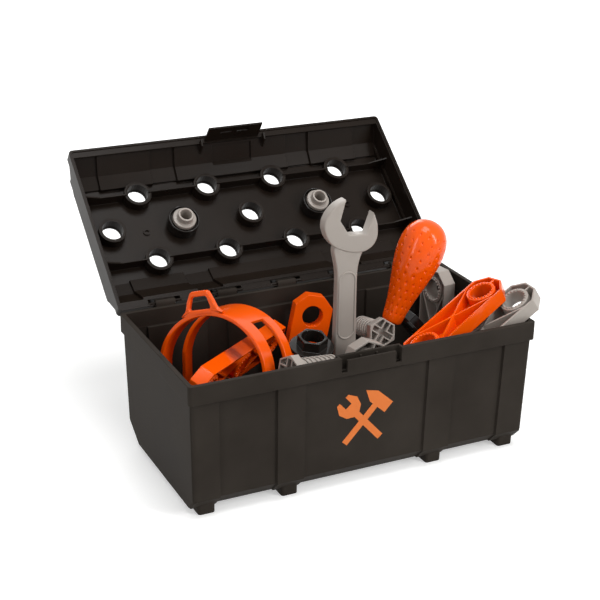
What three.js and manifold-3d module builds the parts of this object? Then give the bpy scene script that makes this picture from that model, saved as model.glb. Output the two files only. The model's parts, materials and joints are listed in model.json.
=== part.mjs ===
// A toy tool box that stands open: an open tub full of toy tools and building beams, and a bench lid with
// thirteen sockets on five hinge hooks, its two stepped bolts stored in the middle row.
// Millimetres, Z up. The sizes count from the front left corner of the tub's rim, on the ground: X runs
// right along the front, Y runs back. The last lines move the whole to the middle of its box, on the ground.
import * as THREE from "three";
import { mergeVertices } from "three/addons/utils/BufferGeometryUtils.js";
import Module from "manifold-3d";

const wasm = await Module();
wasm.setup();

// Sizes that every piece shares.
const OVER = 1; // how far each cut runs past the face it opens
const GAP = 0.3; // space left between two pieces that touch
const ROUND = 24; // sides of a ring or a bore
const ARC = 4; // steps of a rounded corner

// The tub. Its rim is a band that stands out from the wall, and flat pilasters stand out from the panels.
const TUB = { width: 350, depth: 178.75, height: 132.5, wall: 2.5, draft: 2.5, corner: 4 };
const BAND = { height: 18.2, out: 2.5, lip: 4.6, shelf: 16.5 };
// Where the front's pilasters start and end, as shares of the width.
const PILASTER_SHARES = [[0.0086, 0.0809], [0.24, 0.3171], [0.6743, 0.7543], [0.9086, 0.9914]];
const PANEL_DEPTH = 2.5; // how far the panels lie behind the pilasters
const BELLY = { clearance: 6, frontRun: 11.5, frontRise: 12, rearRun: 25, rearRise: 17 };
const FOOT = { width: 16.5, inset: 9.5, depth: 22, height: 14, corner: 3 };
const FOOT_SHARES = [0.0266, 0.2614, 0.6989, 0.9337]; // where each foot begins, of the width

// The catch in the front rim: a plate in the band with a pocket behind it, open below for the tab's tip.
const CATCH = { width: 60.4, slot: 5.5, depth: 9.8, wall: 2.5, floor: 4.2, plateDrop: 2.5, ribSpan: 16.4 };
const CATCH_RIB = { thick: 2, height: 6, length: 1.7 };

// The hinge: five bars in slots of the lid's rear lip, each held by a hook on the tub.
const HINGE = { count: 5, pitch_share: 0.1829, behind: 2.8, above: 2.3, bar: 1.6, hook: 3.9, hookWidth: 20,
  mouth: 2.6 };
const BAR_SEAT = { forward: 3, out: -2 }; // the hinge bars in the lid's own frame
const HOOK_ARM = 9; // how far a hook's arm reaches down the band
const OPEN_DEG = 39.387; // the open lid leans this far up from level, away from the tub

// The lid, in its own frame: u along the hinge, v from the rear lip to the front lip, w out of the open side.
const LID = { overhang: 7.25, wall: 2.4, lip: 9, band: 11, bead: 2.4, step: 1, set: 1.5, lipThick: 2.6 };
// Depth of the work face, depth of the outer face and height of the pads.
const BENCH = { floor: 27.5, back: 30, pad: 2 };
const PAD_SHARES = [[0.08, 0.24], [0.3171, 0.6771], [0.7543, 0.9086]]; // of the width
// Inside and outside of the lid's walls as (distance in from that side's lip, depth), rear then front.
const REAR_INSIDE = [[10, 5], [28, 23.5], [42, 26.5]];
const FRONT_INSIDE = [[34, 25.5], [20, 21], [5, 5]];
const REAR_OUTSIDE = [[2.5, 11], [12, 17], [29, 30]];
const FRONT_OUTSIDE = [[34, 30], [18, 23.6], [2.5, 11]];
// A slot of the hinge: the hook passes through its middle, and its ends are pockets with a wall behind them.
const SLOT = { length: 32.7, reach: 7.3, deep: 12, back: 0.9, pocket: 8, play: 0.8 };

// Sockets of the bench: three rows, the middle one half a pitch over.
const SOCKET = { outer: 13.9, inner: 10.7, ledge: 10.15, height: 10.5, pitch_share: 0.2143 };
const ROWS = [{ share: 0.3224, count: 4 }, { share: 0.5294, count: 5 }, { share: 0.7364, count: 4 }];
const STORED = { left: 5, right: 7 }; // which sockets hold a stored bolt, counted from zero
const RIB = { thick: 1.6, height: 11.5, rise: 6.5, ramp: 20 };
const SKIRTING = { width: 2.6, height: 5.5, rear: 26, front: 18 }; // low ledge along each end wall
const DIMPLE = { outer: 3.5, inner: 2.2, height: 1.5, mouth: 2.4, depth_share: 0.5175, spread_share: 0.3234 };

// The latch tab on the middle of the lid's front lip, the two recesses in it and the fins beside it.
const TAB = { width: 60, thick: 2, height: 19, splay: 0.6, root: 2, inward: 6.8 };
const RECESS = { width: 12.6, low: 10.8, high: 15.2, spread: 9, deep: 1.2 };
const FIN = { thick: 2, spread: 35.3 };
const FIN_OUTLINE = [[6.8, 4], [13.5, 1], [15, -13], [5.5, -6]]; // (distance in from the front lip, height)
const KEEP = { width: 44, top: 6, bottom: 20, deep: 1.5 };

// Stepped bolts stored in the bench and the black sleeves round their sockets.
const PLUG = { collar: 12, collarHeight: 4.7, pilot: 8.2, pilotHeight: 6.5, hole: 5.75, holeDepth: 9 };
const PLUG_SHANK = { radius: 10.3, tip: 9.8, length: 19.5 };
const SLEEVE = { outer: 16, inner: 14.15, height: 13.2 };

// Building beams; the ribbed face is at the top of the piece's own frame.
const BEAM = { width: 38, thick: 14, pitch: 80, margin: 21, corner: 11, wall: 2, floor: 2.4 };
const BEAM_RING = { outer: 14.2, bore: 10.5, rib: 1.8 };

// Hoop: an arch of band with a slot along it, so that two legs stand on each side.
const HOOP = { radius: 56, thick: 4, width: 54, nearStrap: 18, farStrap: 13, slotTop: 48 };
const HOOP_LEAN_DEG = 12;
const EYE_TURN_DEG = 17; // how far the flat eye is turned from the top of the arch
const EYE = { thick: 5, corner: 4 };
const EYE_OUTLINE = [[-20, 1], [20, 1], [16, 12], [9, 23], [-9, 23], [-15, 12]];
const EYE_HOLE = [[-10, 6], [14, 6], [8.5, 18], [-7, 18]];

// Wrench, its outline in (across, up) from the foot of the handle.
const WRENCH = { thick: 12, handle: 22.4, handleThick: 9.6, panel: 17.4, panelDeep: 0.8, low: 103,
  high: 179 };
const JAW_RIGHT = [[11.2, 189], [22.5, 199], [29.3, 209], [30, 219], [26.5, 231]];
const MOUTH = [[16.8, 211.8], [9, 210.8], [1, 213], [-7, 219], [-11.3, 227.5]];
const JAW_TIP = [-4.6, 247];
const JAW_LEFT = [[-19, 241], [-25.6, 230], [-27, 218], [-24, 206], [-11.2, 192]];

// Screwdriver: bulb grip and round shaft, both from the shaft's tip along their own axis.
const GRIP_OUTLINE = [[114, 0], [114, 9], [117, 10.2], [133, 12], [151, 15.8], [170, 20.8], [184, 22.6],
  [196, 22.6], [206, 20.5], [213.5, 16], [218, 9], [219.5, 0]];
const SHAFT = { radius: 5, length: 113.7, tip: 3, blade: 14 };

// Loose nuts and bolts.
const HEX_NUT = { across: 29, height: 13, wall: 2.2, flange: 21, flangeThick: 3.2, bore: 10.6 };
const HEX_BOLT = { across: 28.5, height: 10, wall: 1.7, pocket: 6, channel: 4.4, rib: 1.4 };
const THREAD = { crest: 10, root: 8.8, pitch: 6, turns: 8, tip: 7 };

// Where a point of each loose piece lies, from the tub's walls, its middle, the ground or above its rim,
// the way its own X axis runs and the way its own Z axis runs.
const LYING = {
  beam_grey_right: { right: 9, front: 26.5, rim: 14.5, along: [-0.831, 0.011, -0.556],
    up: [-0.557, -0.011, 0.831] },
  beam_orange_right: { right: 34, front: 46.4, rim: 19.5, along: [-0.887, -0.228, -0.402],
    up: [-0.415, 0.011, 0.91] },
  beam_orange_centre: { middle: 13.9, rear: 22.9, ground: 109.3, along: [-0.233, -0.066, -0.97],
    up: [0.213, 0.97, -0.117] },
  beam_orange_left: { left: 31.6, front: 33.6, rim: -21.6, along: [0.706, 0.692, -0.149],
    up: [0.579, -0.685, -0.441] },
  beam_grey_back: { right: 25.5, rear: 31.75, ground: 115.6, along: [0, 0, -1], up: [-0.99, -0.14, 0] },
  beam_grey_front: { middle: -18, front: 20, ground: 34, along: [0.375, 0.1, 0.92], up: [0, -1, 0.1] },
  hoop: { left: 48.8, front: 69.6, rim: -25.3, along: [-0.603, 0.797, 0], up: [0.797, 0.603, 0] },
  wrench: { middle: 6, front: 75, ground: 8.8, along: [1, 0, 0], up: [0, -1, 0] },
  screwdriver: { middle: 25.6, front: 91, ground: 10.3, along: [0.92, 0, -0.39], up: [0.39, 0, 0.92] },
  nut_centre: { middle: -27, front: 65, rim: -5, along: [1, 0, 0], up: [0, -0.17, 0.98] },
  nut_right: { right: 70, front: 97, rim: -24.5, along: [0.6, 0, -0.8], up: [0.8, 0, 0.6] },
  bolt_centre: { middle: 48, front: 67.5, rim: -15.7, along: [0.597, 0.148, 0.788],
    up: [-0.12, -0.955, 0.27] },
  bolt_front: { left: 101, front: 19, rim: -11, along: [0.3, -0.95, 0], up: [-0.93, -0.25, 0.2] },
};
const BEAM_HOLES = { beam_orange_left: 3, beam_orange_centre: 2, beam_orange_right: 2, beam_grey_right: 3,
  beam_grey_front: 2, beam_grey_back: 2 };

const DARK = 0x39342f;
const ORANGE = 0xf0560f;
const GREY = 0xaba6a1;
const BLACK = 0x161616;

const floorTop = BELLY.clearance + TUB.wall + GAP; // where a piece that stands in the tub begins

const X = new THREE.Vector3(1, 0, 0);
const Y = new THREE.Vector3(0, 1, 0);
const Z = new THREE.Vector3(0, 0, 1);
const ALONG_X = new THREE.Matrix4().makeBasis(Y, Z, X); // an outline in (y, z) drawn out along X
const HALF_TURN = Math.PI;
const FULL_TURN = 2 * Math.PI;
const HEX_SIDES = 6;
const toRadians = THREE.MathUtils.degToRad;

// Sizes that follow from the tables.
const lidDepth = TUB.depth + LID.overhang;
const shoulder = TUB.height - BAND.height; // the underside of the band
const ofWidth = (shares) => shares.map((share) => share * TUB.width);
const fromFront = (points) => points.map(([inward, deep]) => [lidDepth - inward, deep]);
const pads = PAD_SHARES.map(ofWidth);
const frontInside = fromFront(FRONT_INSIDE);
const frontOutside = fromFront(FRONT_OUTSIDE);
const rows = ROWS.map(({ share, count }) => ({ v: share * lidDepth, count }));

// A closed three.js geometry as a solid that can be joined and cut.
function solid(geometry) {
  const bare = geometry.clone();
  bare.deleteAttribute("normal");
  bare.deleteAttribute("uv");
  const merged = mergeVertices(bare);
  return new wasm.Manifold(
    new wasm.Mesh({
      numProp: 3,
      vertProperties: merged.attributes.position.array,
      triVerts: new Uint32Array(merged.index.array),
    }),
  );
}

const join = (...pieces) => pieces.flat().reduce((all, piece) => all.add(piece));
const cut = (body, ...tools) => tools.flat().reduce((rest, tool) => rest.subtract(tool), body);
const meet = (body, other) => body.intersect(other);

// A box given by its two ends along each axis.
function block(x, y, z) {
  const geometry = new THREE.BoxGeometry(x[1] - x[0], y[1] - y[0], z[1] - z[0]);
  geometry.translate((x[0] + x[1]) / 2, (y[0] + y[1]) / 2, (z[0] + z[1]) / 2);
  return solid(geometry);
}

const outline = (points) => new THREE.Shape(points.map(([a, b]) => new THREE.Vector2(a, b)));

// An outline drawn out from one height to another, then turned by a matrix if there is one.
function draw(shape, from, to, turn, steps = ARC) {
  const depth = to - from;
  const geometry = new THREE.ExtrudeGeometry(shape, { depth, bevelEnabled: false, curveSegments: steps });
  geometry.translate(0, 0, from);
  if (turn) geometry.applyMatrix4(turn);
  return solid(geometry);
}

// An upright cylinder, or a prism when it has few sides.
function drum(radius, from, to, x = 0, y = 0, sides = ROUND, topRadius = radius) {
  const geometry = new THREE.CylinderGeometry(topRadius, radius, to - from, sides);
  geometry.rotateX(HALF_TURN / 2);
  geometry.translate(x, y, (from + to) / 2);
  return solid(geometry);
}

// A turned body from points of (height, radius).
function turned(points, sides = ROUND) {
  const geometry = new THREE.LatheGeometry(points.map(([h, r]) => new THREE.Vector2(r, h)), sides);
  geometry.rotateX(HALF_TURN / 2);
  return solid(geometry);
}

// A rectangle with rounded corners.
function roundedPlan([x0, x1], [y0, y1], radius) {
  const shape = new THREE.Shape();
  const quarter = HALF_TURN / 2;
  shape.absarc(x1 - radius, y0 + radius, radius, -quarter, 0);
  shape.absarc(x1 - radius, y1 - radius, radius, 0, quarter);
  shape.absarc(x0 + radius, y1 - radius, radius, quarter, HALF_TURN);
  shape.absarc(x0 + radius, y0 + radius, radius, HALF_TURN, HALF_TURN + quarter);
  return shape;
}

// An outline whose corners are rounded, each by a curve that begins and ends this far from it.
function rounded(points, radius) {
  const shape = new THREE.Shape();
  const corners = points.map(([x, y]) => new THREE.Vector2(x, y));
  corners.forEach((corner, i) => {
    const before = corners[(i + corners.length - 1) % corners.length];
    const after = corners[(i + 1) % corners.length];
    const start = corner.clone().add(before.clone().sub(corner).setLength(radius));
    const end = corner.clone().add(after.clone().sub(corner).setLength(radius));
    if (i === 0) shape.moveTo(start.x, start.y);
    else shape.lineTo(start.x, start.y);
    shape.quadraticCurveTo(corner.x, corner.y, end.x, end.y);
  });
  return shape;
}

const meshes = [];

// A solid as a named mesh, moved by a matrix if there is one.
function piece(name, body, colour, at) {
  const made = body.getMesh();
  const geometry = new THREE.BufferGeometry();
  geometry.setAttribute("position", new THREE.BufferAttribute(made.vertProperties, 3));
  geometry.setIndex(new THREE.BufferAttribute(made.triVerts, 1));
  const faceted = geometry.toNonIndexed();
  faceted.computeVertexNormals();
  const material = new THREE.MeshStandardMaterial({ color: colour, roughness: 0.5, metalness: 0 });
  const mesh = new THREE.Mesh(faceted, material);
  mesh.name = name;
  if (at) mesh.applyMatrix4(at);
  meshes.push(mesh);
  return mesh;
}

// The point that an entry of the table gives, from the tub's walls, its middle, the ground or its rim.
function placeOf({ left, right, middle, front, rear, ground, rim }) {
  const x = left ?? (right === undefined ? TUB.width / 2 + middle : TUB.width - right);
  const y = front ?? TUB.depth - rear;
  return new THREE.Vector3(x, y, ground ?? TUB.height + rim);
}

// The matrix of a piece that lies as its entry says, its own origin at a height over the point given there.
function lie(name, height = 0) {
  const { along, up } = LYING[name];
  const x = new THREE.Vector3(...along).normalize();
  const z = new THREE.Vector3(...up);
  z.addScaledVector(x, -z.dot(x)).normalize();
  const y = new THREE.Vector3().crossVectors(z, x);
  const origin = placeOf(LYING[name]).addScaledVector(z, -height);
  return new THREE.Matrix4().makeBasis(x, y, z).setPosition(origin);
}

// The two corners of a sloping underside, inset from the wall and the floor by one thickness.
function slope(wall, inward, run, rise, base, inset) {
  const length = Math.hypot(run, rise);
  const high = [wall + inward * inset, base + rise + (inset * (length - rise)) / run];
  const low = [wall + inward * (run + (inset * (length - run)) / rise), base + inset];
  return [high, low];
}

// Side outline of the tub in (y, z), with its walls moved in by one distance and all thinned by another.
function sideOutline(moved, inset, top) {
  const front = BAND.out + moved;
  const rear = TUB.depth - BAND.out - moved;
  const [frontHigh, frontLow] = slope(front, 1, BELLY.frontRun, BELLY.frontRise, BELLY.clearance, inset);
  const [rearHigh, rearLow] = slope(rear, -1, BELLY.rearRun, BELLY.rearRise, BELLY.clearance, inset);
  return outline([[front + inset, top], frontHigh, frontLow, rearLow, rearHigh, [rear - inset, top]]);
}

function tubShell(inset, top) {
  const x0 = BAND.out + inset;
  const x1 = TUB.width - BAND.out - inset;
  const y0 = BAND.out + inset;
  const y1 = TUB.depth - BAND.out - inset;
  const panels = draw(sideOutline(PANEL_DEPTH, inset, top), x0, x1, ALONG_X);
  const pilasters = PILASTER_SHARES.map(ofWidth).map(([from, to]) =>
    draw(sideOutline(0, inset, top), Math.max(from + inset, x0), Math.min(to - inset, x1), ALONG_X));
  const plan = draw(roundedPlan([x0, x1], [y0, y1], Math.max(TUB.corner - inset, inset)), 0, top);
  return meet(join(panels, pilasters), plan);
}

// The whole tub narrows a little towards its underside.
function drafted(body) {
  const middle = [TUB.width / 2, TUB.depth / 2];
  return body.warp((vertex) => {
    const below = Math.max(shoulder - vertex[2], 0) / shoulder;
    vertex[0] += ((middle[0] - vertex[0]) / middle[0]) * TUB.draft * below;
    vertex[1] += ((middle[1] - vertex[1]) / middle[1]) * TUB.draft * below;
  });
}

function tub() {
  const width = [0, TUB.width];
  const depth = [0, TUB.depth];
  const band = draw(roundedPlan(width, depth, TUB.corner), shoulder, TUB.height);
  const feet = ofWidth(FOOT_SHARES).flatMap((start) => {
    const across = [start, start + FOOT.width];
    const front = [FOOT.inset, FOOT.inset + FOOT.depth];
    const rear = [TUB.depth - FOOT.inset - FOOT.depth, TUB.depth - FOOT.inset];
    return [front, rear].map((along) => draw(roundedPlan(across, along, FOOT.corner), 0, FOOT.height));
  });
  const shelf = TUB.height - BAND.shelf;
  const mouth = draw(
    roundedPlan([BAND.lip, TUB.width - BAND.lip], [BAND.lip, TUB.depth - BAND.lip], BAND.out),
    shelf,
    TUB.height + OVER,
  );
  const hollow = join(tubShell(TUB.wall, shelf + OVER), mouth);
  const shell = cut(join(tubShell(0, shoulder + OVER), band, feet), hollow);
  return join(catchIn(drafted(shell)), hooks());
}

// The catch: a plate in the band between two slots, with a pocket and two ribs behind it.
function catchIn(body) {
  const middle = TUB.width / 2;
  const sideways = [middle - CATCH.width / 2, middle + CATCH.width / 2];
  const plate = [sideways[0] + CATCH.slot, sideways[1] - CATCH.slot];
  const back = CATCH.depth - CATCH.wall;
  const plateTop = TUB.height - CATCH.plateDrop;
  const around = [sideways[0] - CATCH.wall, sideways[1] + CATCH.wall];
  const housing = block(around, [0, CATCH.depth], [shoulder, TUB.height]);
  const floor = shoulder + CATCH.floor;
  const pocket = block(sideways, [BAND.out, back], [floor, TUB.height + OVER]);
  const below = block(sideways, [BAND.out, BAND.out + PANEL_DEPTH], [shoulder - OVER, floor + OVER]);
  const opening = block(sideways, [-OVER, BAND.out + OVER], [plateTop, TUB.height + OVER]);
  const slots = [[sideways[0], plate[0]], [plate[1], sideways[1]]].map((across) =>
    block(across, [-OVER, back], [floor, TUB.height + OVER]));
  const ribs = [-1, 1].map((side) => {
    const at = middle + (side * CATCH.ribSpan) / 2;
    const across = [at - CATCH_RIB.thick / 2, at + CATCH_RIB.thick / 2];
    return block(across, [back - CATCH_RIB.length, back + OVER], [plateTop - CATCH_RIB.height, plateTop]);
  });
  return join(cut(join(body, housing), pocket, below, opening, slots), ribs);
}

const hingeStarts = Array.from({ length: HINGE.count }, (_, i) =>
  TUB.width / 2 + (i - (HINGE.count - 1) / 2) * HINGE.pitch_share * TUB.width);
const hingeY = TUB.depth + HINGE.behind;
const hingeZ = TUB.height + HINGE.above;

// Round bars along X at a height over a line, for the hinge.
function bar(radius, x0, x1, y, z) {
  const geometry = new THREE.CylinderGeometry(radius, radius, x1 - x0, ROUND / 2);
  geometry.rotateZ(HALF_TURN / 2);
  geometry.translate((x0 + x1) / 2, y, z);
  return solid(geometry);
}

function hooks() {
  return hingeStarts.map((middle) => {
    const x0 = middle - HINGE.hookWidth / 2;
    const x1 = middle + HINGE.hookWidth / 2;
    const ring = bar(HINGE.hook, x0, x1, hingeY, hingeZ);
    const arm = block([x0, x1], [hingeY - HINGE.hook, hingeY + HINGE.hook], [TUB.height - HOOK_ARM, hingeZ]);
    const hole = bar(HINGE.bar + GAP, x0 - OVER, x1 + OVER, hingeY, hingeZ);
    const mouth = [hingeY - HINGE.mouth / 2, hingeY + HINGE.mouth / 2];
    const opening = block([x0 - OVER, x1 + OVER], mouth, [hingeZ, hingeZ + HINGE.hook + OVER]);
    return cut(join(ring, arm), hole, opening);
  });
}

// The lid's walls as a tray from rear and front outlines, moved in by the height of a pad.
function tray(rear, front, moved, bottom, top, u0, u1) {
  const rearLine = rear.map(([v, deep]) => [v + moved, -(deep - moved)]);
  const frontLine = front.map(([v, deep]) => [v - moved, -(deep - moved)]);
  const [, , rearEnd] = rearLine;
  const [frontEnd] = frontLine;
  const [rearTop] = rearLine;
  const frontTop = frontLine[frontLine.length - 1];
  const points = [[rearTop[0], top], ...rearLine, [rearEnd[0], -bottom], [frontEnd[0], -bottom], ...frontLine,
    [frontTop[0], top]];
  const clean = points.filter((point, i) => i === 0 || Math.hypot(point[0] - points[i - 1][0],
    point[1] - points[i - 1][1]) > GAP / 2);
  return draw(outline(clean), u0, u1, ALONG_X);
}

function lidShell() {
  const width = TUB.width;
  const band = draw(roundedPlan([0, width], [0, lidDepth], TUB.corner), -LID.band, 0);
  const shadow = [LID.set, width - LID.set];
  const under = -LID.band + BENCH.pad + OVER;
  const outsidePads = pads.map(([from, to]) => [from + LID.wall, to - LID.wall]);
  const outside = [
    tray(REAR_OUTSIDE, frontOutside, BENCH.pad, BENCH.back, under, ...shadow),
    ...between(outsidePads, shadow).map(([from, to]) =>
      tray(REAR_OUTSIDE, frontOutside, 0, BENCH.back, under, from, to)),
  ];
  const ends = [LID.set + LID.wall, width - LID.set - LID.wall];
  const inside = [
    tray(REAR_INSIDE, frontInside, BENCH.pad, BENCH.floor, -LID.lipThick, ...ends),
    ...between(pads, ends).map(([from, to]) =>
      tray(REAR_INSIDE, frontInside, 0, BENCH.floor, -LID.lipThick, from, to)),
  ];
  const mouth = block(ends, [LID.lip, lidDepth - LID.lip], [-LID.lipThick - OVER, OVER]);
  const step = draw(
    roundedPlan([LID.bead, width - LID.bead], [LID.bead, lidDepth - LID.bead], TUB.wall),
    -LID.step,
    OVER,
  );
  const keepAcross = [(width - KEEP.width) / 2, (width + KEEP.width) / 2];
  const keep = meet(
    tray(REAR_INSIDE, frontInside, BENCH.pad - KEEP.deep, BENCH.floor, 0, ...keepAcross),
    block(keepAcross, [lidDepth / 2, lidDepth], [-KEEP.bottom, -KEEP.top]),
  );
  return cut(join(band, outside), inside, mouth, step, keep);
}

// The stretches that a list of stretches leaves free.
function between(stretches, [from, to]) {
  const starts = [from, ...stretches.map(([, end]) => end)];
  const ends = [...stretches.map(([start]) => start), to];
  return starts.map((start, i) => [start, ends[i]]);
}

const sockets = rows.flatMap(({ v, count }) => Array.from({ length: count }, (_, i) =>
  [TUB.width / 2 + (i - (count - 1) / 2) * SOCKET.pitch_share * TUB.width, v]));

// A rib across the bench under a row of sockets, which climbs to the end walls.
function benchRib(v) {
  const low = -BENCH.floor - OVER;
  const top = -BENCH.floor + RIB.height;
  const high = top + RIB.rise;
  const ends = [LID.set + OVER, TUB.width - LID.set - OVER];
  const shape = outline([[ends[0], low], [ends[1], low], [ends[1], high], [ends[1] - RIB.ramp, top],
    [ends[0] + RIB.ramp, top], [ends[0], high]]);
  const upright = new THREE.Matrix4().makeBasis(X, Z, Y.clone().negate());
  return draw(shape, -v - RIB.thick / 2, -v + RIB.thick / 2, upright);
}

function lid() {
  const shell = lidShell();
  const low = -BENCH.floor - OVER;
  const socketTop = -BENCH.floor + SOCKET.height;
  const tubes = sockets.map(([u, v]) => drum(SOCKET.outer, low, socketTop, u, v));
  const bores = sockets.map(([u, v]) => drum(SOCKET.inner, -BENCH.floor, 0, u, v));
  const ledges = sockets.map(([u, v]) => drum(SOCKET.ledge, -BENCH.back - OVER, -BENCH.floor + OVER, u, v));
  const [rearRow, , frontRow] = rows;
  const ribs = [rearRow, frontRow].map(({ v }) => benchRib(v));
  const ledgeTop = -BENCH.floor + SKIRTING.height;
  const skirting = [LID.set, TUB.width - LID.set - LID.wall - SKIRTING.width].map((start) =>
    block([start, start + LID.wall + SKIRTING.width], [SKIRTING.rear, lidDepth - SKIRTING.front],
      [low, ledgeTop]));
  const dimples = [-1, 1].map((side) => {
    const u = TUB.width / 2 + side * DIMPLE.spread_share * TUB.width;
    const v = DIMPLE.depth_share * lidDepth;
    const top = -BENCH.floor + DIMPLE.height;
    const ring = cut(drum(DIMPLE.outer, low, top, u, v, ROUND / 2),
      drum(DIMPLE.inner, -BENCH.floor, top + OVER, u, v, ROUND / 2));
    const mouth = block([u, u + DIMPLE.outer + OVER], [v - DIMPLE.mouth / 2, v + DIMPLE.mouth / 2],
      [-BENCH.floor, top + OVER]);
    return cut(ring, mouth);
  });
  const bench = cut(join(shell, tubes, ribs, skirting, dimples), bores, ledges);
  const passage = HINGE.hookWidth / 2 + SLOT.play;
  const slots = hingeStarts.flatMap((middle) => [
    block([middle - passage, middle + passage], [-OVER, SLOT.reach], [-SLOT.deep, OVER]),
    block(slotSpan(middle, 0), [SLOT.back, SLOT.reach], [-SLOT.pocket, OVER]),
  ]);
  const bars = hingeStarts.map((middle) =>
    bar(HINGE.bar, ...slotSpan(middle, OVER), BAR_SEAT.forward, BAR_SEAT.out));
  return join(cut(bench, slots), bars, tab(), fins());
}

// The two ends of a hinge slot, each moved out by a little more.
function slotSpan(middle, more) {
  return [middle - SLOT.length / 2 - more, middle + SLOT.length / 2 + more];
}

function tab() {
  const middle = TUB.width / 2;
  const foot = lidDepth - TAB.inward;
  const tip = foot + TAB.splay;
  const side = outline([[foot, -TAB.root], [foot + TAB.thick, -TAB.root], [tip + TAB.thick, TAB.height],
    [tip, TAB.height]]);
  const plate = draw(side, middle - TAB.width / 2, middle + TAB.width / 2, ALONG_X);
  const recesses = [-1, 1].map((way) => {
    const at = middle + way * RECESS.spread;
    return block([at - RECESS.width / 2, at + RECESS.width / 2], [foot - OVER, foot + RECESS.deep],
      [RECESS.low, RECESS.high]);
  });
  return cut(plate, recesses);
}

function fins() {
  return [-1, 1].map((side) => {
    const at = TUB.width / 2 + side * FIN.spread;
    return draw(outline(fromFront(FIN_OUTLINE)), at - FIN.thick / 2, at + FIN.thick / 2, ALONG_X);
  });
}

// The open lid's frame: its hinge bars lie on the hinge line and it leans back.
function openLid() {
  const lean = toRadians(OPEN_DEG);
  const out = new THREE.Vector3(0, -Math.sin(lean), Math.cos(lean));
  const forward = new THREE.Vector3(0, Math.cos(lean), Math.sin(lean));
  const origin = new THREE.Vector3(0, hingeY, hingeZ)
    .addScaledVector(forward, -BAR_SEAT.forward)
    .addScaledVector(out, -BAR_SEAT.out);
  return new THREE.Matrix4().makeBasis(X, forward, out).setPosition(origin);
}

function benchPlug() {
  const top = PLUG.collarHeight;
  const shank = drum(PLUG_SHANK.radius, -SOCKET.height + GAP, OVER);
  const tip = drum(PLUG_SHANK.tip, -PLUG_SHANK.length, -SOCKET.height + OVER);
  const collar = drum(PLUG.collar, GAP, top);
  const pilot = drum(PLUG.pilot, 0, top + PLUG.pilotHeight);
  const hole = drum(PLUG.hole, top + PLUG.pilotHeight - PLUG.holeDepth, top + PLUG.pilotHeight + OVER);
  return cut(join(shank, tip, collar, pilot), hole);
}

function sleeve() {
  return cut(drum(SLEEVE.outer, 0, SLEEVE.height), drum(SLEEVE.inner, -OVER, SLEEVE.height + OVER));
}

// A beam's outline with cut corners, from its first hole, thinned by an inset.
function beamOutline(holes, inset) {
  const x0 = -BEAM.margin + inset;
  const x1 = (holes - 1) * BEAM.pitch + BEAM.margin - inset;
  const y = BEAM.width / 2 - inset;
  const c = BEAM.corner - inset * (2 - Math.SQRT2);
  return outline([[x0 + c, -y], [x1 - c, -y], [x1, -y + c], [x1, y - c], [x1 - c, y], [x0 + c, y],
    [x0, y - c], [x0, -y + c]]);
}

function beam(holes) {
  const centres = Array.from({ length: holes }, (_, i) => i * BEAM.pitch);
  const end = centres[holes - 1];
  const half = BEAM.rib / 2;
  const tray = cut(draw(beamOutline(holes, 0), 0, BEAM.thick),
    draw(beamOutline(holes, BEAM.wall), BEAM.floor, BEAM.thick + OVER));
  const rings = centres.map((x) => drum(BEAM_RING.outer, 0, BEAM.thick, x));
  const across = BEAM.width - BEAM.wall;
  const diagonal = Math.hypot(BEAM.pitch, across);
  const crosses = centres.slice(1).flatMap((x) => [-1, 1].map((side) => {
    const geometry = new THREE.BoxGeometry(diagonal, BEAM_RING.rib, BEAM.thick - BEAM.floor / 2);
    geometry.rotateZ(side * Math.atan2(across, BEAM.pitch));
    geometry.translate(x - BEAM.pitch / 2, 0, (BEAM.thick + BEAM.floor / 2) / 2);
    return solid(geometry);
  }));
  const thin = [-BEAM_RING.rib / 2, BEAM_RING.rib / 2];
  const rise = [BEAM.floor / 2, BEAM.thick];
  const ends = [block([-BEAM.margin + BEAM.wall / 2, -BEAM_RING.bore], thin, rise),
    block([end + BEAM_RING.bore, end + BEAM.margin - BEAM.wall / 2], thin, rise)];
  const bores = centres.map((x) => drum(BEAM_RING.bore, -OVER, BEAM.thick + OVER, x));
  return cut(join(tray, rings, crosses, ends), bores);
}

// The hoop in its own frame: X across the arch, Y up the legs, Z away from the front edge. The arch leans.
function hoop() {
  const inner = HOOP.radius - HOOP.thick;
  const arch = new THREE.Shape();
  arch.absarc(0, 0, HOOP.radius, 0, HALF_TURN);
  arch.absarc(0, 0, inner, HALF_TURN, 0, true);
  const lean = new THREE.Matrix4().makeRotationX(toRadians(HOOP_LEAN_DEG));
  const band = draw(arch, 0, HOOP.width, lean, ROUND / 2);
  const slot = [HOOP.nearStrap, HOOP.width - HOOP.farStrap];
  const openings = [-1, 1].map((side) => {
    const x = [side * inner / 2, side * (HOOP.radius + OVER)].sort((a, b) => a - b);
    const geometry = new THREE.BoxGeometry(x[1] - x[0], HOOP.slotTop + OVER, slot[1] - slot[0]);
    geometry.translate((x[0] + x[1]) / 2, (HOOP.slotTop - OVER) / 2, (slot[0] + slot[1]) / 2);
    geometry.applyMatrix4(lean);
    return solid(geometry);
  });
  const down = floorTop - placeOf(LYING.hoop).z;
  const straps = [[OVER, HOOP.nearStrap], [slot[1], HOOP.width - OVER]];
  const legs = [[-HOOP.radius, -inner], [inner, HOOP.radius]].flatMap((x) =>
    straps.map((z) => block(x, [down, 0], z)));
  const eye = lean.clone().multiply(new THREE.Matrix4().makeRotationZ(-toRadians(EYE_TURN_DEG)));
  const raised = (points) => rounded(points.map(([x, y]) => [x, y + inner]), EYE.corner);
  const frame = draw(raised(EYE_OUTLINE), 0, EYE.thick, eye);
  const hole = draw(raised(EYE_HOLE), -OVER, EYE.thick + OVER, eye);
  return cut(join(cut(band, openings), legs, frame), hole);
}

// A bolt head or nut is a six sided prism.
const hexagon = (across, from, to) => drum(across / 2, from, to, 0, 0, HEX_SIDES);

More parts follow.
